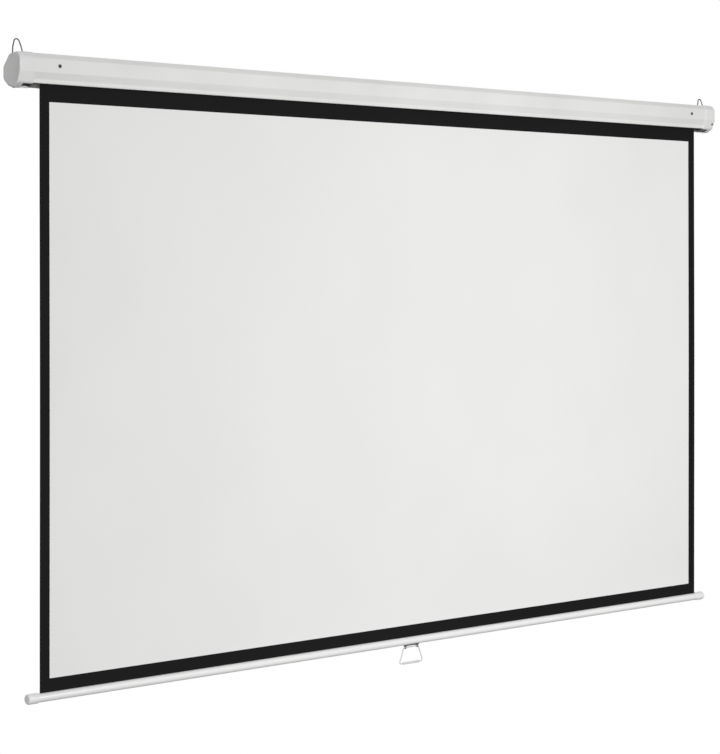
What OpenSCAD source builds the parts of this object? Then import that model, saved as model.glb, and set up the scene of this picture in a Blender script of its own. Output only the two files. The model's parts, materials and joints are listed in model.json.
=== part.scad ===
// Pull-down projection screen with a spring roller and a self-locking ratchet, fully lowered.
// Millimetres. X runs along the case, Y towards the wall, Z up.
// The origin is the centre of the flat back of the case.

/* [Viewing area] */
// Width of the white viewing area
view_w = 2214; // [1800:2:2400]
// Height of the white viewing area
view_h = 1245; // [1000:1:1400]
// Black border at each side of the viewing area
side_border = 26; // [20:1:40]
// Black border that shows between the case and the viewing area
top_border = 39; // [30:0.5:60]
// Black border under the viewing area
low_border = 29; // [22:1:40]
// Thickness of the white cloth
cloth_t = 0.4; // [0.3:0.05:0.6]
// Thickness of the printed black layer, and of the light-stopping coat behind
coat_t = 0.2; // [0.1:0.05:0.3]

/* [Case] */
// Overhang of the case past each edge of the cloth
case_overhang = 67; // [62:1:90]
// Depth of the case from its front face to the wall
case_depth = 61; // [59:0.5:68]
// Height of the case above the middle of its back
case_rise = 43; // [41:0.5:50]
// Depth of the case below the middle of its back
case_drop = 32; // [30:0.5:38]
// Height of the flat back
back_flat = 26; // [20:1:34]
// Height of the upright front face
face_h = 29.5; // [26:0.5:34]
// Depth of the bevel over the front face
bevel_d = 10; // [8:0.5:13]
// Height of the bevel over the front face
bevel_h = 11.5; // [9:0.5:13]
// Width of the top
top_w = 30; // [28:1:34]
// Fall of the top towards the wall
top_fall = 4; // [2:0.5:6]
// How far the face slants back at its foot
slant_d = 8; // [6:0.5:10]
// Height of the slanted foot of the face
slant_h = 15; // [13:0.5:18]
// Height of the upright lip at the slot
lip_h = 8; // [5:0.5:9]
// Width of the lip's return along the slot
lip_return = 2; // [1.5:0.5:6]
// Distance from the wall to the rear edge of the slot
slot_back = 33; // [30:0.5:34]
// Distance from the wall to the end of the rear foot
foot_back = 17; // [14:0.5:20]
// Rise of the bottom from the slot to the end of the rear foot
foot_rise = 5; // [3:0.5:7]
// Wall of the case
case_wall = 1; // [0.8:0.1:1.4]
// Bend radius of the case's edges
case_bend = 3; // [2:0.5:4]

/* [End caps] */
// Length of an end cap
cap_len = 40; // [36:1:46]
// Length of case covered by a cap's sleeve
cap_lap = 20; // [18:1:24]
// How far a cap stands proud of the case
cap_proud = 1.6; // [1.2:0.1:2.2]
// Wall of a cap
cap_wall = 2; // [1.6:0.1:2.4]
// Radius of a cap's outer rim
cap_rim = 4; // [3:0.5:8]
// Radius of a cap's corners along its sleeve
cap_bend = 9; // [5:0.5:10]
// Radius of a cap's corners at its end
cap_end_bend = 14; // [9:0.5:16]
// Length of the slot's notch in a cap
cap_notch = 24; // [20:1:28]

/* [Hanging loops] */
// Distance from the end of the case to the middle of a loop
loop_in = 20; // [19:0.5:21]
// Distance of a loop from the wall, at the top of the case
loop_back = 25; // [24:0.5:32]
// Height of a loop's wire above the case when it is right out
loop_h = 34; // [30:1:40]
// Width of a loop between its wires, at the case
loop_w = 27; // [25:0.5:28]
// Width of a loop between its wires, at its shoulders
shoulder_w = 22.4; // [21:0.2:24]
// Height of a loop's shoulders above the case
shoulder_h = 16; // [12:1:18]
// Radius of the bend at the top of a loop
loop_bend = 7; // [6:0.5:8]
// Diameter of a loop's wire
loop_wire = 3; // [2.5:0.1:3.4]
// How far a loop pushes in
loop_travel = 20; // [12:1:22]
// How far the right loop is pushed in at rest
right_loop_in = 10; // [4:1:12]

/* [Roller] */
// Distance of the cloth behind the front face of the case
cloth_set = 22; // [20:0.5:24]
// Outer diameter of the roller tube
tube_d = 28; // [26:0.5:30]
// Wall of the roller tube
tube_wall = 1.5; // [1.2:0.1:2]
// How far the roller tube runs past each edge of the cloth
tube_past = 9; // [6:0.5:11]
// Depth of the cloth that stays wound on the tube
wrap_t = 1; // [0.8:0.1:1.4]
// Diameter of the fixed spring shaft and of the idler pin
shaft_d = 8; // [7:0.5:9]
// Length of the spring shaft inside the roller
shaft_len = 370; // [320:10:460]
// Thickness of a roller plug's flange
flange_t = 3; // [2:0.5:4]
// Depth of a roller plug inside the tube
plug_len = 32; // [26:1:40]
// Turns of the rewind spring
spring_turns = 20; // [14:1:22]
// Wire diameter of the rewind spring
spring_wire = 1.8; // [1.4:0.1:2]
// Radius of the rewind spring at the middle of its wire
spring_r = 7.2; // [6.8:0.1:8]

/* [Lock] */
// Radius of the ratchet wheel
ratchet_r = 7.3; // [7:0.1:7.6]
// Thickness of the ratchet wheel and the pawls
lock_t = 3; // [2.4:0.2:3.4]
// Distance from the roller's axis to a pawl's pin
pawl_at = 10.8; // [10.6:0.1:11]
// Length of a pawl from its pin to its tip
pawl_len = 8.3; // [8:0.1:8.6]
// Radius of a pawl's tip
tip_r = 1.3; // [1.1:0.1:1.4]
// Width of a pawl between its ends
neck_w = 2; // [1.6:0.1:2.2]
// Radius of a pawl's round end
pawl_end_r = 2.2; // [2:0.1:2.6]
// Radius of a pawl's pin
pawl_pin_r = 1.2; // [1:0.1:1.4]

/* [Brackets] */
// Thickness of a roller bracket's plate
plate_t = 2; // [1.6:0.2:2.4]
// Gap from a roller plug's flange to the bracket
lock_room = 11; // [10:0.5:12]
// Distance from the end of the case to a front screw
screw_in = 105; // [95:1:112]
// Distance from the end of the case to the screws of its cap
cap_screw_in = 10; // [9:0.5:14]
// Height of a bracket's front flange
front_flange_h = 20; // [16:1:24]
// Thread diameter of the front screws
screw_d = 4; // [3.5:0.5:5]
// Thread diameter of the screws of the caps
cap_screw_d = 3; // [2.5:0.5:4]

/* [Bottom bar] */
// Diameter of the bottom bar
bar_d = 19.6; // [18:0.2:22]
// Wall of the bottom bar
bar_wall = 1.4; // [1:0.1:1.8]
// Width of the slot along the top of the bar
bar_slot = 2.4; // [1.8:0.1:3]
// Diameter of a bar end cap
bar_cap_d = 22.4; // [21:0.2:25]
// How far the bar tube runs past each edge of the cloth
bar_past = 8; // [7.5:0.5:12]
// Length of a bar end cap outside the tube
bar_cap_len = 26; // [18:1:30]
// Diameter of the rod in the hem
hem_rod_d = 6; // [5:0.5:7]
// Gap between the stowed bar caps and the case
stow_gap = 1.5; // [1:0.5:6]

/* [Pull handle] */
// Width of the handle at its pivots
grip_top_w = 51; // [44:1:56]
// Width of the handle at its foot
grip_low_w = 82; // [66:1:90]
// Height of the handle from its pivots to its foot
grip_h = 39; // [32:1:50]
// Diameter of the handle's wire
grip_wire = 3; // [2.5:0.1:3.4]
// Bend radius of the wire at its pivots
grip_bend_top = 2; // [1.8:0.1:3]
// Bend radius of the wire at its foot
grip_bend = 4; // [3:0.5:9]
// Diameter of the sleeve on the handle's foot
sleeve_d = 5.6; // [5:0.2:8]
// Length of the sleeve
sleeve_len = 56; // [40:1:58]
// Drop from the bar to the handle's pivots
pivot_drop = 6; // [4.8:0.1:8]
// Thickness of the handle bracket
ear_t = 1.6; // [1.2:0.1:2]

/* [Hidden] */
$fn = 48;

fit = 0.15;              // gap between fitted pieces
run = 0.06;              // radial running clearance of a shaft
press = 0.02;            // radial gap of a pressed or riveted fit
wound = 0.03;            // gap under cloth that is wound or sewn round something
loose = 0.3;             // gap beside a moving piece
past = 1;                // how far a cut runs past a face
reach = 10;              // half the length of a hole through thin sheets

cloth_half = view_w / 2 + side_border;
case_half = cloth_half + case_overhang;
tube_half = cloth_half + tube_past;
shell_half = case_half - cap_len + cap_lap;
bar_half = cloth_half + bar_past;

// Outline of the case, anticlockwise seen from the right end, from the foot of the lip
slot_front = -case_depth + slant_d;
face_low = case_rise - bevel_h - face_h;
lip_top = face_low - slant_h;
outline = [[slot_front, lip_top - lip_h], [-slot_back, -case_drop], [-foot_back, -case_drop + foot_rise],
    [0, -back_flat / 2], [0, back_flat / 2], [-case_depth + bevel_d + top_w, case_rise - top_fall],
    [-case_depth + bevel_d, case_rise], [-case_depth, case_rise - bevel_h],
    [-case_depth, face_low], [slot_front, lip_top]];
cap_outline = [for (i = [0:8]) outline[i]];
under_side = 1;
back_side = 3;
top_side = 5;
front_side = 7;
slant_side = 8;

// The case is one folded sheet, drawn as flat strips that meet at the middle of its bends
bend_steps = 4;
case_outer = rounded(outline, case_bend, case_bend);
case_inner = rounded(grown(outline, -case_wall), case_bend - case_wall, case_bend + case_wall);

// Larger than any section of the case
wide = case_depth + case_rise + case_drop;

// Roller and cloth
wrap_r = tube_d / 2 + wrap_t;
stack_t = cloth_t + 2 * coat_t;
cloth_y = -case_depth + cloth_set;
roller_y = cloth_y + stack_t / 2 + 0.1 + wrap_r;
flange_x = tube_half + flange_t;
plate_x = flange_x + lock_room;
shaft_r = shaft_d / 2;
collar_r = spring_r - spring_wire / 2 - 0.5;
tube_in = tube_d / 2 - tube_wall;
blade_w = shaft_d - 1;
blade_t = shaft_d / 2;
blade_out = 6;
shoulder_t = 2;
bush_r = shaft_r + 2.5;
bush_past = 1;
idler_x = tube_half - plug_len + 6;
spline_w = 5;
groove_t = 0.8;

// Heights of the viewing area and of the bar
view_top = lip_top - lip_h - top_border;
view_low = view_top - view_h;
bar_z = view_low - low_border - bar_d / 2;
bar_in = bar_d / 2 - bar_wall;
hem_r = hem_rod_d / 2 + 1;
hem_z = bar_z + bar_in - hem_r - fit;
cloth_low = hem_z + hem_r + 0.05;
stowed_top = -case_drop - cap_proud - stow_gap;
travel = stowed_top - (bar_z + bar_cap_d / 2);
pivot_z = bar_z - bar_d / 2 - pivot_drop;
ear_x = grip_top_w / 2 - 4;
ear_r = 3.6;
saddle_w = 12;
rivet_xs = [-ear_x * 0.62, ear_x * 0.62];
rivet_r = 1.6;
rivet_end_r = 2.6;
rivet_head = 1.4;

// Lock, with the pawls lifted clear of the wheel and, after lock_turn, down in its notches
tip_out = ratchet_r + tip_r + loose;
tip_in = ratchet_r - 0.7;
function pawl_angle(tip) = acos((tip * tip - pawl_at * pawl_at - pawl_len * pawl_len)
    / (2 * pawl_at * pawl_len));
lock_turn = pawl_angle(tip_in) - pawl_angle(tip_out);
lock_x = -flange_x - 0.5 - lock_t;

// Screws of the caps, and the sheets of the brackets under the sides of the case
tab_w = 10;
sheet_in = case_wall + loose;
side_screw_at = 0.45;
lip_in = -(outline[9] - outline[slant_side]) * outward(outline[slant_side], outline[0]);
side_tab_in = lip_in + sheet_in;
screw_end = 1.5;
nut_h = 3.2;

// Loops, and the plate under the top of the case that holds their feet
loop_plate_in = case_wall + 1;
loop_plate_w = 18;
loop_foot = -loop_plate_in - plate_t - loose - loop_wire / 2;
loop_x = case_half - loop_in;
wire_gap = 0.6;
slot_out = loop_w / 2 + loop_wire / 2 + wire_gap;

// Rewind spring, from the plug's collar to the anchor
anchor_x = -plate_x + shaft_len - 24;
spring_lap = 8;
collar_x = -tube_half + plug_len + spring_lap + 2;
anchor_flange_t = 4;
spring_x0 = collar_x - spring_lap;
spring_x1 = anchor_x + spring_lap;
spring_steps = 12;
support_t = 5;
clip_t = 1;
clip_deep = 0.8;
clip_mouth = 3;
clip_x = -plate_x + shaft_len - 3;
support_x = clip_x - support_t - 1;
spring_pitch = (spring_x1 - spring_x0) / spring_turns;

echo(travel = travel, lock_turn = lock_turn, turn_radius = travel / (2 * PI * 12));
echo(roller_y = roller_y, bar_z = bar_z, pivot_z = pivot_z, cloth_low = cloth_low);
echo(case_half = case_half, plate_x = plate_x, loop_x = loop_x, view_top = view_top);

// Plane geometry of outlines, whose points run anticlockwise
function turned(v) = [v[1], -v[0]];
function ahead(pts, i) = pts[(i + 1) % len(pts)];
function before(pts, i) = pts[(i + len(pts) - 1) % len(pts)];
function outward(p, q) = turned(q - p) / norm(q - p);
function meet(a, u, b, v) =
    a + u * ((b - a)[0] * v[1] - (b - a)[1] * v[0]) / (u[0] * v[1] - u[1] * v[0]);
function corner(a, b, c, d) = meet(b + outward(a, b) * d, b - a, b + outward(b, c) * d, c - b);
function grown(pts, d) =
    [for (i = [0:len(pts) - 1]) corner(before(pts, i), pts[i], ahead(pts, i), d)];
function heading(v) = atan2(v[1], v[0]);
function bend_angle(a, b, c) = let (t = heading(c - b) - heading(b - a))
    t > 180 ? t - 360 : t < -180 ? t + 360 : t;

// Rounds each corner of an outline: r outside corners, r_in inside ones
function rounded(pts, r, r_in) = [for (i = [0:len(pts) - 1])
    let (a = before(pts, i), b = pts[i], c = ahead(pts, i), t = bend_angle(a, b, c),
        s = sign(t), rr = t > 0 ? r : r_in, mid = corner(a, b, c, -s * rr),
        from = heading(outward(a, b)))
    for (k = [0:bend_steps]) let (w = from + t * k / bend_steps) mid + s * rr * [cos(w), sin(w)]];

// Extrudes a section of the case, drawn as [Y, Z], from x0 to x1
module along(x0, x1) {
    translate([x0, 0, 0]) rotate([90, 0, 90]) linear_extrude(x1 - x0) children();
}

// A cylinder along X
module shaft(x0, x1, r) {
    translate([x0, 0, 0]) rotate([0, 90, 0]) cylinder(h = x1 - x0, r = r);
}

// A ring along X
module ring(x0, x1, r, r_in) {
    difference() {
        shaft(x0, x1, r);
        shaft(x0 - past, x1 + past, r_in);
    }
}

// Puts its children on a side of an outline, with Z pointing out of that side
module on_side(i, x, share = 0.5, pts = outline) {
    p = pts[i];
    q = ahead(pts, i);
    n = outward(p, q);
    at = p + (q - p) * share;
    translate([x, at[0], at[1]]) rotate([atan2(-n[0], n[1]), 0, 0]) children();
}

module at_roller() { translate([0, roller_y, 0]) children(); }
module at_bar() { translate([0, cloth_y, bar_z]) children(); }
module at_right(side) { mirror([side < 0 ? 1 : 0, 0, 0]) children(); }

// A closed skin over rings of points, which turn anticlockwise seen from the last ring
module skin(rings) {
    n = len(rings[0]);
    last = len(rings) - 1;
    walls = [for (i = [0:last - 1]) for (k = [0:n - 1])
        let (a = i * n + k, b = i * n + (k + 1) % n)
        for (f = [[a, a + n, b], [b, a + n, b + n]]) f];
    ends = [[for (k = [0:n - 1]) k], [for (k = [n - 1:-1:0]) last * n + k]];
    polyhedron([for (r = rings) for (p = r) p], concat(walls, ends));
}

// Points of a bent wire with their headings: the ends, and an arc at each point between them
function wire_stations(pts, bends, steps) = let (last = len(pts) - 1) concat(
    [[pts[0], heading(pts[1] - pts[0])]],
    [for (i = [1:last - 1])
        let (a = pts[i - 1], b = pts[i], c = pts[i + 1], t = bend_angle(a, b, c),
            arm = sign(t) * bends[i - 1], mid = corner(a, b, c, -arm), from = heading(outward(a, b)))
        for (k = [0:steps]) let (w = from + t * k / steps) [mid + arm * [cos(w), sin(w)], w + 90]],
    [[pts[last], heading(pts[last] - pts[last - 1])]]);

// A wire along points of the XZ plane, with a bend radius at each inner point
module bent_wire(pts, bends, r, sides = 16) {
    skin([for (s = wire_stations(pts, bends, 6)) [for (k = [0:sides - 1])
        let (w = 360 * k / sides) [s[0][0] - r * cos(w) * sin(s[1]), -r * sin(w),
            s[0][1] + r * cos(w) * cos(s[1])]]]);
}

// Pan head screw with a cross recess, whose head stands on the XY plane
module pan_screw(d, length) {
    head_r = d;
    head_h = d * 0.7;
    difference() {
        union() {
            cylinder(h = head_h * 0.6, r = head_r);
            translate([0, 0, head_h * 0.6])
                cylinder(h = head_h * 0.4, r1 = head_r, r2 = head_r * 0.7);
            translate([0, 0, -length]) cylinder(h = length, r = d / 2);
        }
        for (turn = [0, 90]) translate([0, 0, head_h]) rotate([0, 0, turn])
            cube([head_r, d * 0.16, head_h], center = true);
    }
}

// Case and its ends

// The slot's room, from the lip's return to a distance from the wall
module slot_cut(x0, x1, back = slot_back) {
    along(x0, x1) translate([slot_front + lip_return, -wide])
        square([-back - slot_front - lip_return, wide + lip_top + 2]);
}

module loop_slots(from, to) {
    half = loop_wire / 2 + wire_gap;
    inner = shoulder_w / 2 - (loop_travel + cap_proud - shoulder_h) * shoulder_slope() - half;
    for (side = [-1, 1]) translate([side > 0 ? inner : -slot_out, -half, from])
        cube([slot_out - inner, 2 * half, to - from]);
}

module loop_slots_at(side, from, to) {
    at_right(side) on_loop_side() loop_slots(from, to);
}

module on_loop_side() {
    p = outline[top_side];
    q = outline[top_side + 1];
    on_side(top_side, loop_x, (-loop_back - p[0]) / (q[0] - p[0])) children();
}

module front_screw_place(side) {
    at_right(side) on_side(front_side, case_half - screw_in) children();
}

module cap_screw_axis() { on_side(under_side, case_half - cap_screw_in) children(); }

// The sheet from the middle of one bend of the outline to the middle of another
module sheet_strip(first, last) {
    n = len(case_outer);
    from = first * (bend_steps + 1) + bend_steps / 2;
    to = last * (bend_steps + 1) + bend_steps / 2;
    color("whitesmoke") along(-shell_half, shell_half) polygon(concat(
        [for (k = [from:to]) case_outer[k % n]], [for (k = [to:-1:from]) case_inner[k % n]]));
}

module case_front() {
    difference() {
        sheet_strip(front_side, slant_side);
        for (side = [-1, 1]) front_screw_place(side) translate([0, 0, -2 * case_wall])
            cylinder(h = 4 * case_wall, r = screw_d / 2 + fit);
    }
}

module case_bevel() { sheet_strip(top_side + 1, front_side); }

module case_top() {
    difference() {
        sheet_strip(top_side, top_side + 1);
        for (side = [-1, 1]) loop_slots_at(side, -2 * case_wall, 2 * case_wall);
    }
}

module case_rear_slope() { sheet_strip(back_side + 1, top_side); }
module case_back() { sheet_strip(back_side, back_side + 1); }

module case_floor() {
    difference() {
        sheet_strip(under_side, back_side);
        slot_cut(-shell_half - past, shell_half + past);
    }
}

// The slanted foot of the face, with the upright lip and its return
module case_lip() {
    difference() {
        sheet_strip(slant_side, len(outline) + under_side);
        slot_cut(-shell_half - past, shell_half + past, 0);
    }
}

// A closed shell through cross-sections of the cap, given as [X, distance outside the outline,
// radius of its corners]
module cap_loft(sections, back) {
    intersection() {
        skin([for (c = sections) [for (p = rounded(grown(cap_outline, c[1]), c[2], c[2]))
            [c[0], p[0], p[1]]]]);
        translate([0, -wide + back, -wide / 2]) cube([2 * case_half, wide, wide]);
    }
}

// Cross-sections of a rim of radius r that ends at x, on a wall that stands out by out and has
// corners of radius bend
function rim(x, r, out, bend) = [for (w = [0:30:90]) let (in = r * (1 - cos(w)))
    [x - r + r * sin(w), out - in, bend - in]];

module end_cap(side) {
    inner = case_half - cap_len;
    hollow = cap_proud - cap_wall;
    at_right(side) difference() {
        cap_loft(concat([[inner, cap_proud, cap_bend], [shell_half, cap_proud, cap_bend]],
            rim(case_half, cap_rim, cap_proud, cap_end_bend)), 0);
        along(inner - past, shell_half + fit)
            polygon(rounded(grown(outline, fit), case_bend, case_bend));
        cap_loft(concat([[shell_half, hollow, cap_bend - cap_wall]], rim(case_half - cap_wall,
            cap_rim - cap_wall, hollow, cap_end_bend - cap_wall)), -cap_wall);
        slot_cut(inner - past, inner + cap_notch);
        on_loop_side() loop_slots(-cap_wall - past, cap_proud + past);
        cap_screw_axis() translate([0, 0, -cap_wall - past])
            cylinder(h = 3 * cap_wall, r = cap_screw_d / 2 + fit);
        if (side > 0) side_screw_place() translate([0, 0, -past])
            cylinder(h = 3 * cap_wall, r = cap_screw_d / 2 + fit);
    }
}

module left_end_cap() { color("gainsboro") end_cap(-1); }
module right_end_cap() { color("gainsboro") end_cap(1); }

module cap_screw(side) {
    at_right(side) cap_screw_axis() translate([0, 0, cap_proud])
        pan_screw(cap_screw_d, cap_proud + sheet_in + plate_t + screw_end);
}
module left_cap_screw() { color("silver") cap_screw(-1); }
module right_cap_screw() { color("silver") cap_screw(1); }

// The dark screw low on the front of the right cap
module side_screw_place() {
    on_side(slant_side, case_half - cap_screw_in, side_screw_at, cap_outline) children();
}
module side_screw() {
    color("dimgray") side_screw_place() translate([0, 0, cap_proud])
        pan_screw(cap_screw_d, cap_proud + side_tab_in + plate_t + screw_end);
}

module front_screw(side) {
    front_screw_place(side)
        pan_screw(screw_d, case_wall + fit + plate_t + nut_h + screw_end);
}
module left_front_screw() { color("dimgray") front_screw(-1); }
module right_front_screw() { color("dimgray") front_screw(1); }

module screw_nut(side) {
    front_screw_place(side) translate([0, 0, -case_wall - fit - plate_t - nut_h]) difference() {
        cylinder(h = nut_h, r = screw_d, $fn = 6);
        translate([0, 0, -past]) cylinder(h = nut_h + 2 * past, r = screw_d / 2 + press);
    }
}
module left_screw_nut() { color("silver") screw_nut(-1); }
module right_screw_nut() { color("silver") screw_nut(1); }

// A tab of the bracket for a screw through the cap, under a side of the cap by depth
module screw_tab(w, depth) {
    translate([plate_x, -w / 2, -depth - plate_t])
        cube([case_half - cap_screw_in + w / 2 - 1 - plate_x, w, plate_t]);
}

module screw_hole(d) { translate([0, 0, -reach]) cylinder(h = 2 * reach, r = d / 2 + press); }

// Roller bracket: plate, front flange for the screw, top flange for the loop, tabs for the cap screws
module bracket(side) {
    front_x = case_half - screw_in - tab_w;
    at_right(side) difference() {
        union() {
            along(plate_x, plate_x + plate_t) polygon(rounded(grown(outline, -sheet_in),
                case_bend, case_bend));
            on_side(front_side, 0) translate([front_x, -front_flange_h / 2, -case_wall - fit
                - plate_t])
                cube([plate_x + plate_t - front_x, front_flange_h, plate_t]);
            intersection() {
                on_loop_side() translate([plate_x - loop_x, -loop_plate_w / 2, -loop_plate_in
                    - plate_t])
                    cube([slot_out + loose - plate_x + loop_x, loop_plate_w, plate_t]);
                along(plate_x, case_half) polygon(grown(cap_outline, -loop_plate_in));
            }
            on_side(under_side, 0) screw_tab(tab_w, sheet_in);
            if (side > 0) on_side(slant_side, 0, side_screw_at, cap_outline)
                screw_tab(tab_w - 2, side_tab_in);
        }
        on_loop_side() loop_slots(-loop_plate_in - plate_t - past, past);
        on_side(front_side, case_half - screw_in) screw_hole(screw_d);
        cap_screw_axis() screw_hole(cap_screw_d);
        if (side > 0) side_screw_place() screw_hole(cap_screw_d);
        if (side < 0) at_roller() translate([plate_x - past, -blade_w / 2 - fit, -blade_t / 2 - fit])
            cube([plate_t + 2 * past, blade_w + 2 * fit, blade_t + 2 * fit]);
        if (side > 0) at_roller() shaft(plate_x - past, plate_x + plate_t + past, bush_r + press);
    }
}
module left_roller_bracket() { color("silver") bracket(-1); }
module right_roller_bracket() { color("silver") bracket(1); }

// Hanging loops

module hanging_loop(side, pushed) {
    apex = shoulder_h + shoulder_w / 2 / shoulder_slope();
    half = [[4, loop_foot], [loop_w / 2, loop_foot], [loop_w / 2, 0],
        [shoulder_w / 2, shoulder_h]];
    path = concat(half, [[0, apex]], [for (i = [3:-1:0]) [-half[i][0], half[i][1]]]);
    at_right(side) on_loop_side() translate([0, 0, -pushed])
        bent_wire(path, [2, 8, 8, loop_bend, 8, 8, 2], loop_wire / 2);
}

// Slope of the upper wires that puts the top bend at loop_h, found by halving
function loop_top(slope) = shoulder_h + shoulder_w / 2 / slope
    - loop_bend * sqrt(1 + 1 / (slope * slope)) + loop_bend;
function solve_slope(low, high, n) = n == 0 ? (low + high) / 2
    : let (mid = (low + high) / 2) loop_top(mid) > loop_h ? solve_slope(mid, high, n - 1)
        : solve_slope(low, mid, n - 1);
function shoulder_slope() = solve_slope(0.05, 1.5, 30);

module left_hanging_loop() { color("silver") hanging_loop(-1, 0); }
module right_hanging_loop() { color("silver") hanging_loop(1, right_loop_in); }

// Spring shaft and lock, at the left end

module spring_shaft() {
    color("silver") at_roller() difference() {
        union() {
            shaft(-plate_x + past, -plate_x + shaft_len, shaft_r);
            shaft(lock_x - shoulder_t, lock_x, shaft_r + 2);
            translate([-plate_x - plate_t - blade_out, -blade_w / 2, -blade_t / 2])
                cube([plate_t + blade_out + 2 * past, blade_w, blade_t]);
        }
        ring(clip_x, clip_x + clip_t, shaft_r + past, shaft_r - clip_deep);
    }
}

// The wheel's two notches have the shape of the lowered pawls, with room round them
module ratchet_wheel() {
    room = tip_r + loose;
    deep = lock_t + 2 * past;
    color("gray") at_roller() difference() {
        ring(lock_x, lock_x + lock_t, ratchet_r, shaft_r + press);
        for (turn = [0, 180]) rotate([turn, 0, 0]) translate([lock_x - past, pawl_at, 0])
            rotate([pawl_angle(tip_in), 0, 0]) {
                translate([0, pawl_len, 0]) rotate([0, 90, 0]) cylinder(h = deep, r = room);
                translate([0, 0, -reach]) cube([deep, pawl_len, reach + room]);
                translate([0, pawl_len, -reach]) cube([deep, room, reach]);
            }
    }
}

// One pawl, lifted clear of the wheel; turn is its place round the roller
module pawl(turn) {
    at_roller() rotate([turn, 0, 0]) translate([lock_x, pawl_at, 0])
    rotate([pawl_angle(tip_out), 0, 0]) difference() {
        union() {
            rotate([0, 90, 0]) cylinder(h = lock_t, r = pawl_end_r);
            translate([0, 0, -neck_w / 2]) cube([lock_t, pawl_len, neck_w]);
            translate([0, pawl_len, 0]) rotate([0, 90, 0]) cylinder(h = lock_t, r = tip_r);
        }
        translate([-past, 0, 0]) rotate([0, 90, 0]) cylinder(h = lock_t + 2 * past, r = pawl_pin_r + run);
    }
}
module lock_pawl_a() { color("darkgray") pawl(0); }
module lock_pawl_b() { color("darkgray") pawl(180); }

module pawl_pins() {
    color("silver") at_roller() for (turn = [0, 180]) rotate([turn, 0, 0]) translate([0, pawl_at, 0]) {
        shaft(lock_x - 0.4, -flange_x, pawl_pin_r);
        shaft(lock_x - 1.2, lock_x - 0.3, pawl_pin_r + 0.7);
    }
}

// Rewind spring: a helix round the shaft, from the plug's collar to the anchor
echo(spring_gap = min([for (i = [0:spring_steps])
    norm(spring_point(i) - spring_point(i + spring_steps)) - spring_wire]));
function spring_point(i) = let (w = 360 * i / spring_steps)
    [spring_x0 + spring_pitch * i / spring_steps, spring_r * cos(w), spring_r * sin(w)];
function unit(v) = v / norm(v);

module rewind_spring() {
    n = spring_turns * spring_steps;
    sides = 6;
    color("dimgray") at_roller() skin([for (i = [0:n])
        let (w = 360 * i / spring_steps, p = spring_point(i), out = [0, cos(w), sin(w)],
            side = unit(cross(spring_point(i + 1) - spring_point(i - 1), out)))
        [for (k = [0:sides - 1]) let (a = 360 * k / sides)
            p + spring_wire / 2 * (cos(a) * out + sin(a) * side)]]);
}

module spring_anchor() {
    flange_at = anchor_x + spring_lap + 2;
    color("white") at_roller() union() {
        ring(anchor_x, flange_at, collar_r, shaft_r + press);
        ring(flange_at, flange_at + anchor_flange_t, spring_r + 2, shaft_r + press);
    }
}

module shaft_clip() {
    color("gray") at_roller() difference() {
        ring(clip_x + fit / 2, clip_x + clip_t - fit / 2, shaft_r + 2, shaft_r - clip_deep + press);
        translate([clip_x - past, -clip_mouth / 2, -shaft_d])
            cube([clip_t + 2 * past, clip_mouth, shaft_d]);
    }
}

// Roller

module roller_tube() {
    color("lightgray") at_roller() difference() {
        ring(-tube_half, tube_half, tube_d / 2, tube_in);
        translate([-tube_half - past, tube_d / 2 - groove_t, -spline_w / 2 - 0.1])
            cube([2 * (tube_half + past), 2, spline_w + 0.2]);
    }
}

module cloth_spline() {
    color("white") at_roller() translate([-cloth_half, tube_d / 2 - groove_t + press, -spline_w / 2])
        cube([2 * cloth_half, groove_t - 0.27, spline_w]);
}

module cloth_wrap() {
    color("dimgray") at_roller() ring(-cloth_half, cloth_half, wrap_r, tube_d / 2 + wound);
}

module left_roller_plug() {
    color("white") at_roller() difference() {
        union() {
            shaft(-flange_x, -tube_half, tube_d / 2);
            shaft(-tube_half, -tube_half + plug_len, tube_in - press);
            shaft(-tube_half, collar_x, collar_r);
        }
        shaft(-flange_x - past, collar_x + past, shaft_r + run);
    }
}

module shaft_support() {
    color("white") at_roller()
        ring(support_x, support_x + support_t, tube_in - press, shaft_r + run);
}

module right_roller_plug() {
    color("white") at_roller() difference() {
        union() {
            shaft(tube_half, flange_x, tube_d / 2);
            shaft(tube_half - plug_len, tube_half, tube_in - press);
        }
        shaft(idler_x, flange_x + past, shaft_r + press);
    }
}

module idler_pin() {
    color("silver") at_roller() shaft(idler_x, plate_x + plate_t + bush_past + 3, shaft_r);
}

module bearing_bush() {
    color("white") at_roller() union() {
        ring(plate_x - shoulder_t, plate_x, bush_r + 2, shaft_r + run);
        ring(plate_x, plate_x + plate_t + bush_past, bush_r, shaft_r + run);
    }
}

// Cloth, printed border and backing, one behind the other

module sheet_layer(front, t, z0, z1, half) {
    translate([-half, cloth_y + front, z0]) cube([2 * half, t, z1 - z0]);
}

module screen_cloth() {
    color("white") sheet_layer(-stack_t / 2 + coat_t, cloth_t, cloth_low, 0, cloth_half);
}

module black_border() {
    color([0.08, 0.08, 0.08]) difference() {
        sheet_layer(-stack_t / 2, coat_t, cloth_low, 0, cloth_half);
        sheet_layer(-stack_t / 2 - past, coat_t + 2 * past, view_low, view_top, view_w / 2);
    }
}

module dark_backing() {
    color([0.15, 0.15, 0.15]) sheet_layer(stack_t / 2 - coat_t, coat_t, cloth_low, 0, cloth_half);
}

// Bottom bar

module bar_tube() {
    color("white") at_bar() difference() {
        ring(-bar_half, bar_half, bar_d / 2, bar_in);
        translate([-bar_half - past, -bar_slot / 2, 0]) cube([2 * (bar_half + past), bar_slot, bar_d]);
        for (x = rivet_xs) translate([x, 0, -bar_d]) cylinder(h = bar_d, r = rivet_r + press);
    }
}

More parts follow.
